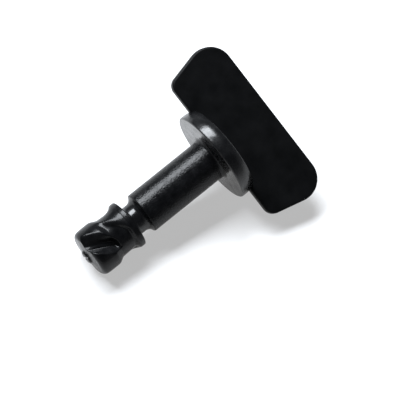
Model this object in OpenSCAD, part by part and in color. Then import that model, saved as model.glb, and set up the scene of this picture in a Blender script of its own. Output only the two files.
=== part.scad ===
// Hitch cover bolt: a quarter-turn stud with a flat thumb wing.
// It is drawn along its own axis, nose down, with the underside of the collar at
// height 0 and the wing across Y. It is then laid down the way it comes to rest,
// on the edge of the collar and the two edges of one cam channel.

/* [Collar] */
// Diameter of the collar
collar_d = 18; // [16:0.1:22]
// Height of the collar
collar_h = 3; // [2.8:0.1:4]
// Height of the straight rim, below the bevel
collar_rim = 1.8; // [1:0.1:2.2]
// How far the bevel leans in at the top
collar_bevel = 0.65; // [0.2:0.05:1]
// Radius of the rim's lower edge
collar_edge = 0.3; // [0.1:0.05:0.5]

/* [Shank] */
// Diameter of the plain shank
shank_d = 8; // [7:0.1:8.4]
// Length of the plain shank
shank_l = 16.2; // [10:0.1:30]
// Radius of the fillet under the collar
root_fillet = 0.75; // [0.2:0.05:1]

/* [Groove for the retaining washer] */
// Diameter of the groove's floor
groove_d = 5.8; // [5:0.1:6.2]
// Width of the groove, with its fillet
groove_w = 2.85; // [2.4:0.05:4]
// Radius of the groove's fillet on the shank side
groove_fillet = 1.4; // [1:0.05:1.6]
// Radius of the shank's edge at the groove
shank_edge = 0.3; // [0.1:0.05:0.4]

/* [Cam end] */
// Diameter of the ring and of the two cam teeth
cam_d = 9.4; // [9:0.1:10]
// Length of the cam end, from the ring's flat face to the nose
cam_l = 10.2; // [10:0.1:12]
// Width of the ring's straight land
ring_land = 0.95; // [0.5:0.05:1.2]
// Diameter across the two pockets behind the teeth
pocket_d = 7.9; // [7.4:0.1:8.4]
// Diameter across the channel floors at the nose
channel_d = 6.2; // [5.6:0.1:7]
// Turn of the channels, in degrees for each millimetre
channel_twist = 9; // [4:0.5:12]
// Angle of the channel's easy side
channel_run = 34; // [20:1:40]
// Angle of the channel's flat floor
channel_flat = 12; // [6:1:16]
// Angle of the channel's steep side
channel_wall = 20; // [12:1:24]

/* [Wing] */
// Width of the wing at its base
wing_base = 29.9; // [24:0.1:40]
// Slope of the wing's two short ends, outwards from base to top
wing_flare = 13.5; // [0:0.5:20]
// Height of the wing
wing_h = 12.05; // [9:0.05:20]
// Thickness of the wing
wing_t = 2; // [1.5:0.1:3]
// Depth that the wing is let into the top of the collar
wing_seat = 1; // [0.6:0.1:1.4]
// Corner radius at the base
wing_low_corner = 2; // [1:0.1:3]
// Corner radius at the top
wing_top_corner = 4.3; // [3:0.1:5]
// Radius of the wing's rounded edges
wing_edge = 0.4; // [0.1:0.05:0.6]

/* [At rest] */
// Slope of the axis when the bolt lies on a table
rest_slope = 9.82; // [0:0.01:20]
// Roll of the bolt about its axis
rest_roll = 203; // [0:0.5:360]
// Moves the box of the resting bolt over the origin, along its length
rest_x = 7.1; // [-20:0.01:20]
// Moves the box of the resting bolt over the origin, across its length
rest_y = 0; // [-20:0.01:20]

/* [Hidden] */

$fn = 96;
collar_r = collar_d / 2;
shank_r = shank_d / 2;
groove_r = groove_d / 2;
cam_r = cam_d / 2;

// Heights along the axis, all below the collar.
ring_z = -shank_l - groove_w;      // flat face of the ring
land_z = ring_z - ring_land;       // end of the ring's land
nose_z = ring_z - cam_l;           // the nose itself
tooth_z = nose_z + 4.6;            // where the crest lies at crest_angle
channel_top = nose_z + 6.8;        // where the spiral channels start
shoulder_top = nose_z + 5.85;      // where the teeth start to rise from the waist

ring_fillet = 0.25;
ring_edge = 0.2;
crest_angle = -31;                 // the start of a channel's easy side, at tooth_z
tongue_start = 80;                 // a tongue of each land runs up to the ring: where it
tongue_w = 66;                     // starts, how wide it is and how soon it drops again
tongue_drop = 34;
crest_share = 0.35;                // how deep the waist is on the tongue, as a share
slope_short = 0.85;                // slope from ring to waist, in the pockets
slope_long = 4.5;                  // and down the crest of a tongue
shoulder_h = 1.75;                 // height over which the shoulders rise
rim_w = 1.1;                       // rounded rim of the end face, across and along
rim_h = 1.5;
rim_over = 0.08;                   // how far the rim's curve starts outside the cam
face_rise = 0.65;                  // from the nose back to the edge of the end face
face_step = 0.05;                  // the end face meets the nub this far above its foot
nub_r = 1.35;                      // small nub in the middle of the end face
nub_h = 0.4;
nub_edge = 0.5;                    // how far the nub's side leans in
nub_foot = 0.4;                    // where the end face stops, outside the nub
nub_notch = 0.3;                   // depth of the notch across the nub
blend = 0.3;                       // softness of the corner where cut and limit meet
soft_share = 0.8;                  // softness of the corner between channel and pocket
skin = 0.01;                       // keeps the cam's facets just inside the ring
overlap = 0.3;                     // how far the cam reaches up into the ring
clear = 1;                         // how far cutters and loose limits stand clear

// A fillet or rounded edge: points of an arc around c.
function arc(c, r, from, to, steps = 8) =
    [for (i = [0:steps]) let (a = from + (to - from) * i / steps) c + r * [cos(a), sin(a)]];

// 0 before 0, 1 after 1, and a smooth S between.
function ease(x) = let (c = max(0, min(1, x))) c * c * (3 - 2 * c);

// The smaller or the larger of two lengths, with the corner between them rounded.
function soft_min(a, b, k) = let (h = max(k - abs(a - b), 0) / k) min(a, b) - h * h * k / 4;
function soft_max(a, b) = -soft_min(-a, -b, max(skin, soft_share * min(a, b)));

// How far the channels have turned at a height, counted from tooth_z.
function turned_by(z) = -channel_twist * (tooth_z - z);

// Angle past the start of the nearer channel. Both are alike, half a turn apart.
function past_crest(angle, z) =
    let (d = angle - crest_angle - turned_by(z)) d - 180 * floor(d / 180);

// Shape of one spiral channel across its width: 0 on the land, 1 on the floor.
function channel(a) =
    ease(a / channel_run) - ease((a - channel_run - channel_flat) / channel_wall);

// Shape of the tongue of land that runs up to the ring: 1 on its crest, 0 in the pockets.
function tongue(a) =
    max(0, min(1, (a - tongue_start) / tongue_w))
    * (1 - ease((a - tongue_start - tongue_w) / tongue_drop));

// How deep the waist is at a height, on a crest of that shape: a slope down from the ring,
// short in the pockets and long on the tongue, and a shoulder back up at the teeth.
function waist(crest, z) =
    let (run = slope_short + (slope_long - slope_short) * crest)
    (1 - (1 - crest_share) * crest * crest)
    * ease((land_z - z) / run)
    * (1 - ease((shoulder_top - z) / shoulder_h));

// Radius of the cam at an angle and height, inside an outer limit.
function cam_radius(angle, z, limit) =
    let (a = past_crest(angle, z),
         spiral = (cam_r - channel_d / 2) * channel(a) * ease((channel_top - z) / shoulder_h),
         hollow = (cam_r - pocket_d / 2) * waist(tongue(a), z))
    soft_min(cam_r - skin - soft_max(spiral, hollow), limit, blend);

// Heights and outer limits down the side, round the rim, over the end face and the nub.
rim_z = nose_z + face_rise + rim_h;
face_r = cam_r - rim_w;
side_steps = 28;
side_levels = concat([[land_z + overlap, cam_r + clear]],
    [for (i = [1:side_steps]) [land_z + (rim_z - land_z) * i / side_steps, cam_r + clear]]);
rim_levels = [for (a = [12:12:84])
    [rim_z - rim_h * sin(a), cam_r + rim_over - rim_w * (1 - cos(a))]];
face_levels = [for (i = [0:3])
    [nose_z + face_rise - (face_rise - nub_h - face_step) * i / 3,
     face_r + (nub_r + nub_foot - face_r) * i / 3]];
nub_levels = [for (a = [0:22.5:67.5])
    [nose_z + nub_h * (1 - sin(a)), nub_r - nub_edge * (1 - cos(a))]];

// A closed skin over rings of points, from the top ring to the bottom one.
module lofted(rings) {
    n = len(rings[0]);
    last = len(rings) - 1;
    polyhedron(
        points = [for (ring = rings) each ring],
        faces = concat(
            [[for (i = [n - 1:-1:0]) i]],
            [for (j = [0:last - 1], i = [0:n - 1])
                let (k = (i + 1) % n) each [[j * n + i, (j + 1) * n + k, (j + 1) * n + i],
                                            [j * n + i, j * n + k, (j + 1) * n + k]]],
            [[for (i = [0:n - 1]) last * n + i]]));
}

// The two teeth, the spiral channels between them and the pockets behind them. The
// rings of points turn with the channels, so that the steep walls come out clean.
module cam() {
    sides = 72;
    lofted([for (level = concat(side_levels, rim_levels, face_levels, nub_levels))
        let (z = level[0])
        [for (i = [0:sides - 1])
            let (a = 360 * i / sides + turned_by(z), r = cam_radius(a, z, level[1]))
            [r * cos(a), r * sin(a), z]]]);
}

// The shank's rounded edge runs straight into the groove's fillet: the middle of that
// fillet, and the line from it to the middle of the edge's arc.
neck_z = -shank_l - groove_fillet;
neck_reach = groove_fillet + shank_edge;
neck_turn = acos((groove_r + groove_fillet - shank_r + shank_edge) / neck_reach);

// Collar, shank, groove and ring, turned in one profile.
module turned() {
    rotate_extrude()
        polygon(concat(
            [[0, collar_h], [collar_r - collar_bevel, collar_h], [collar_r, collar_rim]],
            arc([collar_r - collar_edge, collar_edge], collar_edge, 0, -90),
            arc([shank_r + root_fillet, -root_fillet], root_fillet, 90, 180),
            arc([shank_r - shank_edge, neck_z + neck_reach * sin(neck_turn)],
                shank_edge, 0, -neck_turn, 4),
            arc([groove_r + groove_fillet, neck_z], groove_fillet, 180 - neck_turn, 180),
            arc([groove_r + ring_fillet, ring_z + ring_fillet], ring_fillet, 180, 270, 4),
            arc([cam_r - ring_edge, ring_z - ring_edge], ring_edge, 90, 0, 4),
            [[cam_r, land_z], [0, land_z]]));
}

module stud() {
    color([0.06, 0.06, 0.065])
    at_rest()
    difference() {
        union() {
            turned();
            cam();
        }
        // The slot that the wing is set in.
        translate([-wing_t / 2, -collar_r - clear, collar_h - wing_seat])
            cube([wing_t, collar_d + 2 * clear, wing_seat + clear]);
        // The notch across the nub, from one channel's mouth to the other's.
        translate([0, 0, nose_z]) rotate([45, 0, 0])
            cube([collar_d, nub_notch * sqrt(2), nub_notch * sqrt(2)], center = true);
    }
}

// Half of the wing's outline, drawn as a sheet: width along X, height along Y.
module wing_outline() {
    lean = tan(wing_flare);
    half = wing_base / 2;
    hull()
        for (side = [-1, 1]) {
            low_x = half + lean * wing_low_corner - wing_low_corner / cos(wing_flare);
            top_x = half + lean * (wing_h - wing_top_corner) - wing_top_corner / cos(wing_flare);
            translate([side * low_x, wing_low_corner]) circle(wing_low_corner, $fn = 40);
            translate([side * top_x, wing_h - wing_top_corner]) circle(wing_top_corner, $fn = 64);
        }
}

// The stamped plate, with its edges rounded on both faces.
module wing() {
    steps = 3;
    color([0.04, 0.04, 0.043])
    at_rest()
    translate([0, 0, collar_h - wing_seat])
    rotate([90, 0, 90])
    hull()
        for (i = [0:steps]) {
            a = 90 * i / steps;
            thick = wing_t - 2 * wing_edge * (1 - sin(a));
            translate([0, 0, -thick / 2])
                linear_extrude(thick) offset(delta = -wing_edge * (1 - cos(a))) wing_outline();
        }
}

// Lays the bolt on the table: the rim of the collar and the cam end touch height 0.
module at_rest() {
    rise = (collar_r - collar_edge) * cos(rest_slope) - collar_edge * sin(rest_slope) + collar_edge;
    translate([rest_x, rest_y, rise])
        rotate([0, 90 - rest_slope, 0])
            rotate([0, 0, rest_roll])
                children();
}

stud();
wing();
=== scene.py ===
# %% [markdown]
# # A hitch cover bolt in black coat
#
# This lesson dresses a quarter-turn bolt: a forged stud with a collar, a plain shank, a washer
# groove and a spiral cam end, and a stamped thumb wing set across the collar's top. The packed
# model gives the place and the size of both. Blender makes finer meshes and the finish.

# %% Load the frame
import math

import bmesh
import bpy
from mathutils import Matrix, Vector


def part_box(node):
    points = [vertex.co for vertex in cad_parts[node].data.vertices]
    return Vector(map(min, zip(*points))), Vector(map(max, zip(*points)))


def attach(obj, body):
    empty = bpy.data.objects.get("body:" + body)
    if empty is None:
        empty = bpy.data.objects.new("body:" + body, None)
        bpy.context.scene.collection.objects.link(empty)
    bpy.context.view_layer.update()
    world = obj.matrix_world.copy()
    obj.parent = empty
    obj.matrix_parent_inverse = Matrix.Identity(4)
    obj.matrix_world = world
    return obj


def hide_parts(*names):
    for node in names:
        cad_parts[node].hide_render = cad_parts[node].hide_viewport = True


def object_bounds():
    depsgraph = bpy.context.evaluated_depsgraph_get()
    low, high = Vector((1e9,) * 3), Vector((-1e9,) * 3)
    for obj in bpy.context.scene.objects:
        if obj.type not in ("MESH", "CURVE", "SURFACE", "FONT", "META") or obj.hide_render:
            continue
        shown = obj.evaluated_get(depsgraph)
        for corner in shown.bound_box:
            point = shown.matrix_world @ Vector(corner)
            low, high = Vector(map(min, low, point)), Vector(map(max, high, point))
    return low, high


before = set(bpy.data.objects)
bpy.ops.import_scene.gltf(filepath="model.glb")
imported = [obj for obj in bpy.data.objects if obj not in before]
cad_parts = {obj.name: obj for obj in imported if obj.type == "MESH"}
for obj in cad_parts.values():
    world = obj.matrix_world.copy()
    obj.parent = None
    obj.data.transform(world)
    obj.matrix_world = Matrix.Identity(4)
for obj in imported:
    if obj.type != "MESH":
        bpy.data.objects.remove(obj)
cad_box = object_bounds()
cad_sides = [round(1000 * side, 2) for side in cad_box[1] - cad_box[0]]
print("nodes:", sorted(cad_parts), "| box in mm:", cad_sides)

# %% [markdown]
# ## Sizes
# The bolt is drawn upright in its own frame, nose down, with the underside of the collar at
# height 0. These are the driving sizes of the construction, in millimetres. Only a few edges
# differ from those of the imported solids, and they have a line of their own. A lesson could also
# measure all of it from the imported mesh, but named sizes say what each one is for, and a later
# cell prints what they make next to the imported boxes.

# %% Driving sizes, in millimetres and degrees
MM = 0.001
COLLAR_R, COLLAR_H, COLLAR_RIM, COLLAR_BEVEL, COLLAR_EDGE = 9.0, 3.0, 1.8, 0.65, 0.3
SHANK_R, SHANK_L, ROOT_FILLET = 4.0, 16.2, 0.75
GROOVE_R, GROOVE_W = 2.9, 2.85
CAM_R, CAM_L, RING_LAND, RING_EDGE = 4.7, 10.2, 0.95, 0.2
POCKET_R, CHANNEL_R = 3.95, 3.1
TOOTH_RISE, CHANNEL_RISE, SHOULDER_RISE = 4.6, 6.8, 5.85
CHANNEL_TWIST, CHANNEL_RUN, CHANNEL_FLAT, CHANNEL_WALL = 9.0, 34.0, 12.0, 20.0
WING_BASE, WING_H, WING_T, WING_SEAT, WING_FLARE = 29.9, 12.05, 2.0, 1.0, 13.5
WING_LOW_CORNER, WING_TOP_CORNER, WING_EDGE = 2.0, 4.3, 0.4

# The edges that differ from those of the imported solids. Most of them are softer.
TOP_CORNER, RIM_BLEND = 0.35, 3.0
SHANK_EDGE, GROOVE_FILLET, RING_FILLET = 0.35, 1.34, 0.8

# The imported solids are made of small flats, which lie a little inside the true curves. A finer
# mesh would stand proud of them, so some of its surfaces are drawn in by one of these.
HAIR, FINE_HAIR = 0.03, 0.01

# How it lies: the slope of its axis, its roll round that axis, and its place along the table.
REST_SLOPE, REST_ROLL, REST_X = 9.82, 203.0, 7.1

# Heights that follow from the sizes.
RING_Z = -SHANK_L - GROOVE_W
LAND_Z = RING_Z - RING_LAND
NOSE_Z = RING_Z - CAM_L
TOOTH_Z = NOSE_Z + TOOTH_RISE
CHANNEL_TOP = NOSE_Z + CHANNEL_RISE
SHOULDER_TOP = NOSE_Z + SHOULDER_RISE
overall = COLLAR_H - WING_SEAT + WING_H - NOSE_Z
print("ring at", RING_Z, "| nose at", NOSE_Z, "| overall", overall)

# %% [markdown]
# ## Lying down
# The bolt can't stand, so it lies on the edge of its collar and on the two edges of one cam
# channel. One matrix lays a finished mesh down. The pieces' objects stay at the origin, because
# the place belongs in the mesh.

# %% The matrix that lays the bolt down
slope = math.radians(REST_SLOPE)
rise = (COLLAR_R - COLLAR_EDGE) * math.cos(slope) - COLLAR_EDGE * math.sin(slope) + COLLAR_EDGE
AT_REST = (
    Matrix.Translation((REST_X * MM, 0, rise * MM))
    @ Matrix.Rotation(math.radians(90) - slope, 4, "Y")
    @ Matrix.Rotation(math.radians(REST_ROLL), 4, "Z")
)
ALONG = (AT_REST.to_3x3() @ Vector((0, 0, 1))).normalized()
ACROSS = (AT_REST.to_3x3() @ Vector((0, 1, 0))).normalized()
FACING = (AT_REST.to_3x3() @ Vector((1, 0, 0))).normalized()
print("axis", [round(c, 3) for c in ALONG], "| wing faces", [round(c, 3) for c in FACING])

# %% [markdown]
# ## The turned profile
# The collar, shank and groove are turned, so half their outline says everything. A designer
# would draw straight lines and then round each corner, and `rounded` does just that: every
# corner has its own radius, which may be hollow or full. Small radii matter more than they
# seem to, because on black paint it is the edges that catch the light.

# %% A polyline with rounded corners
def rounded(corners, steps=6, lead=0.012):
    """Points along a line whose corners (x, z, radius) are arcs.

    Each arc has a support point `lead` before and after it, which keeps its shading tidy. Two
    arcs need a flat of 2 * `lead` between them, or the line runs back on itself there.
    """
    points = [Vector(corners[0][:2])]
    for before, here, after in zip(corners, corners[1:], corners[2:]):
        corner, radius = Vector(here[:2]), here[2]
        back = (Vector(before[:2]) - corner).normalized()
        ahead = (Vector(after[:2]) - corner).normalized()
        half = back.angle(ahead) / 2
        reach = radius / math.tan(half)
        centre = corner + (back + ahead).normalized() * radius / math.sin(half)
        start, end = corner + back * reach - centre, corner + ahead * reach - centre
        points.append(corner + back * (reach + lead))
        for i in range(steps + 1):
            points.append(centre + start.slerp(end, i / steps) * radius)
        points.append(corner + ahead * (reach + lead))
    points.append(Vector(corners[-1][:2]))
    return points


def divided(points, longest):
    """The same line with its long stretches cut into shorter ones."""
    made = [points[0]]
    for a, b in zip(points, points[1:]):
        pieces = max(1, math.ceil((b - a).length / longest))
        made += [a.lerp(b, i / pieces) for i in range(1, pieces + 1)]
    return made


# The wall under the shank leans, and its two arcs leave no flat between them. Their support
# points pass each other, so the surface folds back on itself there by 0.024 mm. That is a known
# fault, and a GROOVE_FILLET of 1.3 would cure it.
WALL_TOP, WALL_FOOT = 0.02, 0.43
# The last turned level ends this far above the cam end's first, and no step is longer than this.
LEVEL_GAP, LONGEST_STEP = 0.05, 1.0
turned = rounded([
    (0, COLLAR_H, 0),
    (COLLAR_R - COLLAR_BEVEL, COLLAR_H, TOP_CORNER),
    (COLLAR_R, COLLAR_RIM, RIM_BLEND),
    (COLLAR_R, 0, COLLAR_EDGE + 2 * FINE_HAIR),
    (SHANK_R, 0, ROOT_FILLET),
    (SHANK_R, -SHANK_L - WALL_TOP, SHANK_EDGE),
    (GROOVE_R, -SHANK_L - WALL_FOOT, GROOVE_FILLET),
    (GROOVE_R, RING_Z, RING_FILLET),
    (CAM_R, RING_Z, RING_EDGE),
    (CAM_R, LAND_Z + LEVEL_GAP, 0),
])
turned = divided(turned, LONGEST_STEP)
print("turned profile:", len(turned), "points")

# %% [markdown]
# ## The limit line of the cam end
# Below the ring the bolt is no longer round, but it still has an outer limit: straight down the
# side, round the rim of the end face, in over that face and round the small nub at its middle.
# The same kind of profile gives that limit, level by level, and a rule then cuts into it. Down
# the side the limit stands clear of the steel, because there the rule alone gives the form.

# %% The outer limit of the cam end, from the ring to the middle of the nub
SIDE_CLEAR, SIDE_STEP = 1.0, 0.075
# The rim's limit starts a little over the teeth, because the soft blend draws both in.
RIM_W, RIM_H, RIM_OVER = 1.1, 1.5, 0.08
FACE_RISE, FACE_STEP, FACE_LEVELS = 0.65, 0.05, 8
NUB_R, NUB_H, NUB_EDGE, NUB_FOOT = 1.35, 0.4, 0.5, 0.4
limit = []
side_end = NOSE_Z + FACE_RISE + RIM_H
side_levels = math.ceil((LAND_Z - side_end) / SIDE_STEP)
for i in range(side_levels + 1):
    limit.append(Vector((CAM_R + SIDE_CLEAR, LAND_Z + (side_end - LAND_Z) * i / side_levels)))
for degrees in range(5, 90, 5):
    turn = math.radians(degrees)
    limit.append(Vector((
        CAM_R - HAIR + RIM_OVER - RIM_W * (1 - math.cos(turn)),
        side_end - RIM_H * math.sin(turn),
    )))
face_edge, face_foot = CAM_R - RIM_W, NUB_R + NUB_FOOT
for i in range(FACE_LEVELS + 1):
    share = i / FACE_LEVELS
    limit.append(Vector((
        face_edge + (face_foot - face_edge) * share,
        NOSE_Z + FACE_RISE - (FACE_RISE - NUB_H - FACE_STEP) * share,
    )))
for degrees in range(0, 91, 10):
    turn = math.radians(degrees)
    limit.append(Vector((
        NUB_R - NUB_EDGE * (1 - math.cos(turn)),
        NOSE_Z + FINE_HAIR + (NUB_H - FINE_HAIR) * (1 - math.sin(turn)),
    )))
for share in (0.75, 0.5, 0.25, 0.1, 0):
    limit.append(Vector(((NUB_R - NUB_EDGE) * share, NOSE_Z + FINE_HAIR)))

profile = turned + limit
print("whole profile:", len(profile), "levels, of which", len(limit), "on the cam end")

# %% [markdown]
# ## Writing a rule in nodes
# A geometry tree is a formula drawn as boxes. Typed box by box it is hard to read back, so this
# small class lets the script write the formula as ordinary sums: each `+` or `*` adds one Math
# node. The tree it makes is a plain one, which anyone can open and follow.

# %% Sums that build Math nodes
class Wire:
    """An output socket of a tree. Sums of wires and numbers add Math nodes to that tree."""

    def __init__(self, tree, socket):
        self.tree, self.socket = tree, socket

    def math(self, operation, *others):
        node = self.tree.nodes.new("ShaderNodeMath")
        node.operation = operation
        for slot, value in zip(node.inputs, (self, *others)):
            join(self.tree, value, slot)
        return Wire(self.tree, node.outputs[0])

    def __add__(self, other):
        return self.math("ADD", other)

    def __sub__(self, other):
        return self.math("SUBTRACT", other)

    def __rsub__(self, other):
        return self.math("MULTIPLY", -1.0).math("ADD", other)

    def __mul__(self, other):
        return self.math("MULTIPLY", other)

    def __truediv__(self, other):
        return self.math("DIVIDE", other)

    def ease(self, start, end):
        """0 before start, 1 after end, and a smooth S between."""
        node = self.tree.nodes.new("ShaderNodeMapRange")
        node.interpolation_type = "SMOOTHSTEP"
        for slot, value in zip(node.inputs, (self, start, end)):
            join(self.tree, value, slot)
        return Wire(self.tree, node.outputs[0])


def join(tree, value, slot):
    """Feeds a wire, or a plain number, to an input socket."""
    if isinstance(value, Wire):
        tree.links.new(value.socket, slot)
    else:
        slot.default_value = value


def new_tree(name, sizes):
    """An empty geometry tree with one geometry input and a named input for each size."""
    tree = bpy.data.node_groups.new(name, "GeometryNodeTree")
    tree.interface.new_socket("Geometry", in_out="INPUT", socket_type="NodeSocketGeometry")
    tree.interface.new_socket("Geometry", in_out="OUTPUT", socket_type="NodeSocketGeometry")
    for label, kind in sizes:
        tree.interface.new_socket(label, in_out="INPUT", socket_type=kind)
    return tree


def run_tree(piece, tree, values):
    """Runs a tree on a piece as a modifier, then keeps the result as the piece's plain mesh."""
    modifier = piece.modifiers.new(tree.name, "NODES")
    modifier.node_group = tree
    items = tree.interface.items_tree
    sockets = {item.name: item.identifier for item in items if item.in_out == "INPUT"}
    for label, value in values.items():
        modifier[sockets[label]] = value
    evaluated = piece.evaluated_get(bpy.context.evaluated_depsgraph_get())
    mesh = bpy.data.meshes.new_from_object(evaluated)
    piece.modifiers.clear()
    # The bare profile had no finish, which leaves an empty slot behind.
    while None in list(mesh.materials):
        mesh.materials.pop(index=list(mesh.materials).index(None))
    piece.data = mesh
    return piece


print("helpers ready")

# %% [markdown]
# ## Black coat
# Every surface wears the same kind of black electro-coat, but not the same finish. The collar
# and the groove were turned smooth and shine, the shank keeps a fine grain that breaks its
# highlight into sparks, the forged cam end is a little wavy, and the stamped wing is flat and
# dull. One function makes all five: two noises bump the surface, a broad one for the flow of the
# paint and a fine one for the grain of the steel, and a third shifts colour and roughness a
# little. The numbers that are the same all over sit on the shader itself, so that an export
# keeps them.

# %% A coat of black paint over steel
PAINT_IOR = 1.5
# A noise seldom leaves this range.
NOISE_LOW, NOISE_HIGH = 0.3, 0.7


def noise(nodes, links, place, size_mm, detail=2.0):
    """A noise whose features are about size_mm across, on the piece's own coordinates."""
    node = nodes.new("ShaderNodeTexNoise")
    node.inputs["Scale"].default_value = 1 / (size_mm * MM)
    node.inputs["Detail"].default_value = detail
    links.new(place, node.inputs["Vector"])
    return node.outputs["Fac"]


def spread(nodes, links, value, low, high):
    """Stretches a noise's middle range to run from low to high."""
    node = nodes.new("ShaderNodeMapRange")
    node.inputs["From Min"].default_value = NOISE_LOW
    node.inputs["From Max"].default_value = NOISE_HIGH
    node.inputs["To Min"].default_value = low
    node.inputs["To Max"].default_value = high
    links.new(value, node.inputs["Value"])
    return node.outputs["Result"]


def black_coat(name, shades, gloss, shine, flow, grain, blotch_mm):
    """A black finish.

    shades and gloss are the (low, high) of colour and roughness, and blotch_mm is how far apart
    they change. shine is how strongly the coat mirrors, where 0.5 is plain lacquer. flow and
    grain are (size in mm, height in microns) of the two bumps.
    """
    material = bpy.data.materials.new(name)
    material.use_nodes = True
    nodes, links = material.node_tree.nodes, material.node_tree.links
    shader = nodes["Principled BSDF"]
    place = nodes.new("ShaderNodeTexCoord").outputs["Object"]
    blotch = noise(nodes, links, place, blotch_mm, detail=3.0)
    tint = nodes.new("ShaderNodeValToRGB")
    tint.color_ramp.elements[0].color, tint.color_ramp.elements[1].color = shades
    links.new(spread(nodes, links, blotch, 0, 1), tint.inputs["Fac"])
    links.new(tint.outputs["Color"], shader.inputs["Base Color"])
    links.new(spread(nodes, links, blotch, *gloss), shader.inputs["Roughness"])
    normal = None
    for size_mm, microns in (flow, grain):
        bump = nodes.new("ShaderNodeBump")
        bump.inputs["Strength"].default_value = 1.0
        bump.inputs["Distance"].default_value = microns * 1e-6
        links.new(noise(nodes, links, place, size_mm), bump.inputs["Height"])
        if normal:
            links.new(normal, bump.inputs["Normal"])
        normal = bump.outputs["Normal"]
    links.new(normal, shader.inputs["Normal"])
    shader.inputs["IOR"].default_value = PAINT_IOR
    shader.inputs["Specular IOR Level"].default_value = shine
    return material


# The stud's black is a little lighter than the wing's. That is painted fill light: it lifts the
# stud's surfaces, which get less light than the wing's upturned face.
STUD_BLACK_PAINTED_FILL = ((0.0017, 0.0018, 0.0020, 1), (0.0037, 0.0038, 0.0042, 1))
DULL_BLACK = ((0.0011, 0.0012, 0.0013, 1), (0.0024, 0.0025, 0.0027, 1))
collar_coat = black_coat(
    "black_collar", STUD_BLACK_PAINTED_FILL, gloss=(0.20, 0.32), shine=0.31,
    flow=(0.9, 30), grain=(0.40, 12), blotch_mm=2.0,
)
groove_coat = black_coat(
    "black_groove", STUD_BLACK_PAINTED_FILL, gloss=(0.18, 0.30), shine=0.26,
    flow=(1.0, 16), grain=(0.36, 14), blotch_mm=2.0,
)
shank_coat = black_coat(
    "black_shank", STUD_BLACK_PAINTED_FILL, gloss=(0.18, 0.32), shine=0.115,
    flow=(1.0, 12), grain=(0.30, 60), blotch_mm=1.2,
)
cam_coat = black_coat(
    "black_cam", STUD_BLACK_PAINTED_FILL, gloss=(0.18, 0.30), shine=0.12,
    flow=(1.5, 60), grain=(0.36, 10), blotch_mm=1.5,
)
wing_coat = black_coat(
    "black_wing", DULL_BLACK, gloss=(0.42, 0.46), shine=0.06,
    flow=(3.0, 1), grain=(0.20, 1.0), blotch_mm=3.0,
)
coats = (collar_coat, groove_coat, shank_coat, cam_coat, wing_coat)
print("coats:", [coat.name for coat in coats])

# %% [markdown]
# ## The stud as one geometry tree
# The stud is forged and turned from one bar, so it is one surface. The tree spins the profile
# and, below the ring, cuts two spiral channels and the pockets behind the teeth. It could be
# sculpted or cut with booleans, but the form follows a rule: how deep the surface lies depends
# only on the angle round the axis and on the height. So a grid of points is rolled up, each
# point gets its radius from the rule, and every ring turns with the channels, which keeps the
# edges of the steep walls clean.

# %% The tree that makes the stud
# In degrees: how far before angle 0 a tooth's crest lies and, past the crest, where the tongue
# of land that runs up to the ring starts, how far it takes to rise and how far to drop.
CREST_ANGLE = 31
TONGUE_START, TONGUE_W, TONGUE_DROP = 80, 66, 34
# The length of the pockets' slope beside a tongue and along it, the share of their depth that
# is left on a tongue, and the height of the shoulders that end them.
SLOPE_SHORT, SLOPE_LONG, CREST_SHARE = 0.85, 4.5, 0.35
SHOULDER_H = 1.75
# How softly a channel meets a pocket, as a share of the shallower of the two, and how softly
# what is left meets the outer limit.
SOFT_SHARE, LIMIT_BLEND = 0.8, 0.3
NUB_NOTCH = 0.3
SLOT_CUTTER_H = 2.0
# Points closer than this are one point.
WELD = 0.001
# A level less than this above the ring's end still counts as below it.
LEVEL_SLACK = 0.01


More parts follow.
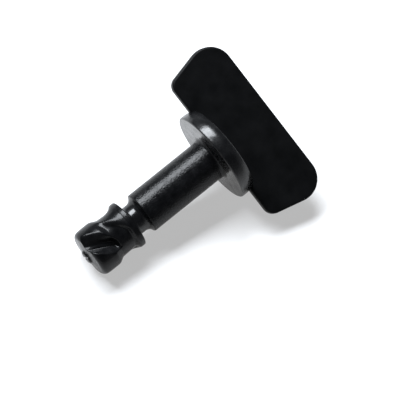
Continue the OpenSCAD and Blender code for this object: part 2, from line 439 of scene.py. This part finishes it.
def stud_tree(finishes):
    real = "NodeSocketFloat"
    tree = new_tree("Stud with spiral cam", [
        ("Sides", "NodeSocketInt"), ("Cam Radius", real), ("Pocket Radius", real),
        ("Channel Radius", real), ("Twist per mm", real), ("Easy Side", real), ("Floor", real),
        ("Steep Side", real), ("Ring End", real), ("Channel Top", real), ("Shoulder Top", real),
        ("Teeth", real), ("Nose", real), ("Slot Width", real), ("Slot Floor", real),
    ])
    nodes, links = tree.nodes, tree.links
    given = nodes.new("NodeGroupInput")
    size = {s.name: Wire(tree, s) for s in given.outputs if s.name}

    # A grid with one column for each side and one row for each level of the profile.
    count = nodes.new("GeometryNodeAttributeDomainSize")
    links.new(given.outputs["Geometry"], count.inputs["Geometry"])
    levels = Wire(tree, count.outputs["Point Count"])
    grid = nodes.new("GeometryNodeMeshGrid")
    join(tree, size["Sides"] + 1, grid.inputs["Vertices X"])
    join(tree, levels, grid.inputs["Vertices Y"])
    index = Wire(tree, nodes.new("GeometryNodeInputIndex").outputs[0])
    column = (index / levels).math("FLOOR")
    row = index - column * levels

    # The profile's radius and height at this row.
    pick = nodes.new("GeometryNodeSampleIndex")
    pick.data_type = "FLOAT_VECTOR"
    links.new(given.outputs["Geometry"], pick.inputs["Geometry"])
    links.new(nodes.new("GeometryNodeInputPosition").outputs[0], pick.inputs["Value"])
    join(tree, row, pick.inputs["Index"])
    parts = nodes.new("ShaderNodeSeparateXYZ")
    links.new(pick.outputs["Value"], parts.inputs[0])
    limit_r, height = Wire(tree, parts.outputs["X"]), Wire(tree, parts.outputs["Z"])

    # Angle round the axis before the twist, and past the crest of the nearer tooth.
    flat_angle = column * 360 / size["Sides"]
    past = (flat_angle + CREST_ANGLE).math("FLOORED_MODULO", 180)

    # Two spiral channels, each with an easy side, a floor and a steep side.
    floor_end = size["Easy Side"] + size["Floor"]
    channel = past.ease(0, size["Easy Side"]) - past.ease(floor_end, floor_end + size["Steep Side"])
    opening = height.ease(size["Channel Top"], size["Channel Top"] - SHOULDER_H)
    spiral = (size["Cam Radius"] - size["Channel Radius"]) * channel * opening

    # The pockets: a slope down from the ring, long on the tongues and short beside them,
    # and a shoulder back up at the teeth.
    tongue = ((past - TONGUE_START) / TONGUE_W).math("MAXIMUM", 0).math("MINIMUM", 1)
    tongue_end = TONGUE_START + TONGUE_W
    tongue = tongue * (1 - past.ease(tongue_end, tongue_end + TONGUE_DROP))
    run = tongue * (SLOPE_LONG - SLOPE_SHORT) + SLOPE_SHORT
    slope = ((size["Ring End"] - height) / run).ease(0, 1)
    shoulder = height.ease(size["Shoulder Top"], size["Shoulder Top"] - SHOULDER_H)
    share = 1 - tongue * tongue * (1 - CREST_SHARE)
    hollow = (size["Cam Radius"] - size["Pocket Radius"]) * share * slope * (1 - shoulder)

    # The deeper of the two wins, and the corner between them is soft.
    both = spiral.math("MINIMUM", hollow) * SOFT_SHARE
    cut = spiral.math("SMOOTH_MAX", hollow, both)
    carved = (size["Cam Radius"] - cut).math("SMOOTH_MIN", limit_r, LIMIT_BLEND)
    below = height.math("LESS_THAN", size["Ring End"] + LEVEL_SLACK)
    radius = limit_r + below * (carved - limit_r)

    # Round the axis. Every level below the ring turns with the channels, and those above it
    # keep the ring's turn.
    twist = (size["Teeth"] - height.math("MINIMUM", size["Ring End"])) * size["Twist per mm"]
    angle = (flat_angle - twist).math("RADIANS")
    x = radius * angle.math("COSINE")
    y = radius * angle.math("SINE")
    # The notch across the nub.
    z = height.math("MAXIMUM", size["Nose"] + NUB_NOTCH - y.math("ABSOLUTE"))
    place = nodes.new("ShaderNodeCombineXYZ")
    for slot, wire in zip(place.inputs, (x, y, z)):
        join(tree, wire, slot)
    move = nodes.new("GeometryNodeSetPosition")
    links.new(grid.outputs["Mesh"], move.inputs["Geometry"])
    links.new(place.outputs[0], move.inputs["Position"])

    # Close the seam and the two poles.
    weld = nodes.new("GeometryNodeMergeByDistance")
    weld.inputs["Distance"].default_value = WELD
    links.new(move.outputs[0], weld.inputs["Geometry"])
    outward = nodes.new("GeometryNodeFlipFaces")
    links.new(weld.outputs[0], outward.inputs["Mesh"])

    # The slot that the wing is set in.
    block = nodes.new("GeometryNodeMeshCube")
    block_size = nodes.new("ShaderNodeCombineXYZ")
    for slot, value in zip(block_size.inputs, (size["Slot Width"], 3 * COLLAR_R, SLOT_CUTTER_H)):
        join(tree, value, slot)
    links.new(block_size.outputs[0], block.inputs["Size"])
    lift = nodes.new("GeometryNodeTransform")
    lift_by = nodes.new("ShaderNodeCombineXYZ")
    join(tree, size["Slot Floor"] + SLOT_CUTTER_H / 2, lift_by.inputs[2])
    links.new(block.outputs["Mesh"], lift.inputs["Geometry"])
    links.new(lift_by.outputs[0], lift.inputs["Translation"])
    slot_cut = nodes.new("GeometryNodeMeshBoolean")
    slot_cut.operation = "DIFFERENCE"
    links.new(outward.outputs[0], slot_cut.inputs["Mesh 1"])
    links.new(lift.outputs[0], slot_cut.inputs["Mesh 2"])

    # Smooth shading and one finish for each stretch of the stud.
    smooth = nodes.new("GeometryNodeSetShadeSmooth")
    links.new(slot_cut.outputs["Mesh"], smooth.inputs["Geometry"])
    real_one = nodes.new("GeometryNodeRealizeInstances")
    links.new(smooth.outputs[0], real_one.inputs["Geometry"])
    geometry = real_one.outputs[0]
    spot = nodes.new("ShaderNodeSeparateXYZ")
    links.new(nodes.new("GeometryNodeInputPosition").outputs[0], spot.inputs[0])
    spot_z = Wire(tree, spot.outputs["Z"])
    for material, top in finishes:
        paint = nodes.new("GeometryNodeSetMaterial")
        paint.inputs["Material"].default_value = material
        links.new(geometry, paint.inputs["Geometry"])
        join(tree, spot_z.math("LESS_THAN", top), paint.inputs["Selection"])
        geometry = paint.outputs[0]
    links.new(geometry, nodes.new("NodeGroupOutput").inputs["Geometry"])
    return tree


# Each finish covers all below its height, and the next one covers it in turn. The shank's takes
# in the fillet under the collar, and the cam's starts on the groove's last curve.
ABOVE_ALL, SHANK_FROM, GROOVE_FROM, CAM_FROM = 10, -0.05, -SHANK_L - 0.1, RING_Z + 0.3
tree = stud_tree([
    (collar_coat, ABOVE_ALL),
    (shank_coat, SHANK_FROM),
    (groove_coat, GROOVE_FROM),
    (cam_coat, CAM_FROM),
])
print("stud tree:", len(tree.nodes), "nodes")

# %% [markdown]
# ## Running the tree
# The piece starts as the bare profile, one point for each level. The tree's inputs are set by
# the sockets' identifiers, the result is kept as a plain mesh, and the mesh is laid down.

# %% The stud
SIDES, SLOT_PLAY = 288, 0.04
profile_mesh = bpy.data.meshes.new("stud_profile")
profile_mesh.from_pydata([(point.x, 0, point.y) for point in profile], [], [])
stud = bpy.data.objects.new("black_stud", profile_mesh)
bpy.context.scene.collection.objects.link(stud)
run_tree(stud, tree, {
    "Sides": SIDES, "Cam Radius": CAM_R - HAIR, "Pocket Radius": POCKET_R,
    "Channel Radius": CHANNEL_R, "Twist per mm": CHANNEL_TWIST, "Easy Side": CHANNEL_RUN,
    "Floor": CHANNEL_FLAT, "Steep Side": CHANNEL_WALL, "Ring End": LAND_Z,
    "Channel Top": CHANNEL_TOP, "Shoulder Top": SHOULDER_TOP, "Teeth": TOOTH_Z, "Nose": NOSE_Z,
    "Slot Width": WING_T + SLOT_PLAY, "Slot Floor": COLLAR_H - WING_SEAT,
})
print("stud:", len(stud.data.vertices), "points,", len(stud.data.polygons), "faces")

# %% [markdown]
# ## The thumb wing
# The wing is stamped from flat plate: an outline with two tight corners at its base, two wide
# ones at its top and short ends that lean outwards. Its edges are a little round all the way
# along, from tumbling and from the paint. A bevel modifier could round them, but a stack of
# outlines gives the same with no artefacts at the corners: every outline is the same four arcs
# with a smaller radius, so it can't fold over itself.

# %% The wing
# How far in each face's flat middle starts, and how far behind the rounded edge lies the
# outline that keeps its shading off the flat.
WING_FACE_INSET, EDGE_LEAD = 1.5, 0.03


def wing_outline(inset, steps=14):
    """Points round the plate, seen face on, every corner drawn as an arc."""
    flare = math.radians(WING_FLARE)
    quarter, right = math.pi / 2, []
    for height, corner, start, end in (
        (WING_LOW_CORNER, WING_LOW_CORNER, -quarter, -flare),
        (WING_H - WING_TOP_CORNER, WING_TOP_CORNER, -flare, quarter),
    ):
        across = WING_BASE / 2 + math.tan(flare) * height - corner / math.cos(flare)
        for i in range(steps + 1):
            turn = start + (end - start) * i / steps
            y = across + (corner - inset) * math.cos(turn)
            z = height + (corner - inset) * math.sin(turn)
            right.append((y, z))
    return right + [(-y, z) for y, z in reversed(right)]


def wing_mesh():
    """The plate as a stack of outlines, from the middle of one face to the middle of the other."""
    levels = [(WING_FACE_INSET, WING_T / 2), (WING_EDGE + EDGE_LEAD, WING_T / 2)]
    for degrees in range(90, -1, -15):
        turn = math.radians(degrees)
        levels.append((
            WING_EDGE * (1 - math.cos(turn)),
            WING_T / 2 - WING_EDGE * (1 - math.sin(turn)),
        ))
    levels += [(inset, -x) for inset, x in reversed(levels)]
    sheet = bmesh.new()
    rings = []
    for inset, x in levels:
        rings.append([
            sheet.verts.new((x, y, COLLAR_H - WING_SEAT + z))
            for y, z in wing_outline(inset + FINE_HAIR)
        ])
    for above, below in zip(rings, rings[1:]):
        for i in range(len(above)):
            k = (i + 1) % len(above)
            sheet.faces.new((above[i], below[i], below[k], above[k]))
    sheet.faces.new(rings[0])
    sheet.faces.new(reversed(rings[-1]))
    bmesh.ops.recalc_face_normals(sheet, faces=sheet.faces)
    for face in sheet.faces:
        face.smooth = True
    mesh = bpy.data.meshes.new("black_wing")
    sheet.to_mesh(mesh)
    sheet.free()
    mesh.materials.append(wing_coat)
    return mesh


wing = bpy.data.objects.new("thumb_wing", wing_mesh())
bpy.context.scene.collection.objects.link(wing)
print("wing:", len(wing.data.vertices), "points,", len(wing.data.polygons), "faces")

# %% [markdown]
# ## Into the frame
# Both meshes are laid down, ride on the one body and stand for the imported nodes.

# %% Lay both down and tie them to the frame
for piece, node, slot in ((stud, "stud", "stud_coat"), (wing, "wing", "wing_coat")):
    piece.data.transform(AT_REST @ Matrix.Scale(MM, 4))
    piece.data.update()
    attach(piece, "root")
    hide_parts(node)
    low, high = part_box(node)
    mesh_low = [min(v.co[i] for v in piece.data.vertices) for i in range(3)]
    mesh_high = [max(v.co[i] for v in piece.data.vertices) for i in range(3)]
    print(node, "packed", [round(1000 * c, 3) for c in (*low, *high)])
    print(node, "made  ", [round(1000 * c, 3) for c in (*mesh_low, *mesh_high)])

# %% [markdown]
# ## Camera
# The camera looks down on the lying bolt from beyond its nose, with a long lens, so that the
# view is almost free of perspective, as in a catalogue. It is given by its direction round the
# bolt, its height above the table, its roll and the point that it looks at.

# %% Camera
def camera_at(azimuth, elevation, roll, target, lens, field):
    """A camera that sees `field` metres across at the target."""
    around, up = math.radians(azimuth), math.radians(elevation)
    back = Vector((math.sin(around) * math.cos(up), -math.cos(around) * math.cos(up), math.sin(up)))
    data = bpy.data.cameras.new("camera")
    data.lens = lens
    distance = field * lens / data.sensor_width
    camera = bpy.data.objects.new("camera", data)
    level = (-back).to_track_quat("-Z", "Y").to_matrix()
    turn = level @ Matrix.Rotation(math.radians(roll), 3, "Z")
    camera.matrix_world = Matrix.Translation(target + back * distance) @ turn.to_4x4()
    data.clip_start, data.clip_end = 0.01, 20
    bpy.context.scene.collection.objects.link(camera)
    bpy.context.scene.camera = camera
    return turn


CAMERA_TARGET = Vector((0.00179, -0.00609, 0.0048))
turn = camera_at(
    azimuth=-49.84, elevation=63.32, roll=10.9, target=CAMERA_TARGET, lens=400, field=0.07495
)
print("camera right", [round(c, 3) for c in turn.col[0]], "up", [round(c, 3) for c in turn.col[1]])

# %% [markdown]
# ## Table and light
# A pale table, one large soft light above and behind the bolt, and a dim room that is lighter
# low down. The table glows a little, like a light table, which keeps the ground white and the
# shadow light. Black gloss shows little but reflections, so what it sees matters more than how
# much light falls on it: the big light draws the streak along the shank, the pale table draws
# the thin rims.

# %% Table, light and room
TABLE_R, TABLE_ROUGHNESS = 3.0, 0.9
TABLE_GREY, TABLE_GLOW = (0.34, 0.34, 0.34, 1), 0.46
# The lamp and the room share one cool white.
COOL_WHITE = (0.91, 0.95, 1.0)
# The room's strength low down and high up, and between which heights it fades.
ROOM_LOW, ROOM_HIGH = 0.4, 0.02
FADE_FROM, FADE_TO = 0.1, 0.6
floor_mesh = bpy.data.meshes.new("table")
disc = bmesh.new()
bmesh.ops.create_circle(disc, cap_ends=True, segments=96, radius=TABLE_R)
disc.to_mesh(floor_mesh)
disc.free()
floor = bpy.data.objects.new("table", floor_mesh)
bpy.context.scene.collection.objects.link(floor)
pale = bpy.data.materials.new("pale_table")
pale.use_nodes = True
surface = pale.node_tree.nodes["Principled BSDF"].inputs
surface["Base Color"].default_value = TABLE_GREY
surface["Roughness"].default_value = TABLE_ROUGHNESS
surface["Emission Color"].default_value = (1, 1, 1, 1)
surface["Emission Strength"].default_value = TABLE_GLOW
floor_mesh.materials.append(pale)


def soft_light(name, direction, distance, size, radiance):
    """A rectangular light that faces the bolt. Its power follows from its size and radiance."""
    data = bpy.data.lights.new(name, "AREA")
    data.shape = "RECTANGLE"
    data.size, data.size_y = size
    data.energy = radiance * math.pi * size[0] * size[1]
    data.color = COOL_WHITE
    lamp = bpy.data.objects.new(name, data)
    away = direction.normalized()
    lamp.matrix_world = (
        Matrix.Translation(away * distance) @ (-away).to_track_quat("-Z", "Y").to_matrix().to_4x4()
    )
    bpy.context.scene.collection.objects.link(lamp)


key_direction = 0.19 * ALONG - 0.83 * ACROSS + 0.53 * FACING
soft_light("key", key_direction, distance=0.45, size=(0.40, 0.20), radiance=36)
print("key from", [round(c, 2) for c in key_direction.normalized()])

world = bpy.data.worlds.new("room")
bpy.context.scene.world = world
world.use_nodes = True
nodes, links = world.node_tree.nodes, world.node_tree.links
sky = nodes.new("ShaderNodeTexCoord")
split = nodes.new("ShaderNodeSeparateXYZ")
fade = nodes.new("ShaderNodeMapRange")
fade.inputs["From Min"].default_value = FADE_FROM
fade.inputs["From Max"].default_value = FADE_TO
fade.inputs["To Min"].default_value = ROOM_LOW
fade.inputs["To Max"].default_value = ROOM_HIGH
links.new(sky.outputs["Generated"], split.inputs[0])
links.new(split.outputs["Z"], fade.inputs["Value"])
links.new(fade.outputs["Result"], nodes["Background"].inputs["Strength"])
nodes["Background"].inputs["Color"].default_value = (*COOL_WHITE, 1)
bpy.context.scene.view_settings.view_transform = "Standard"
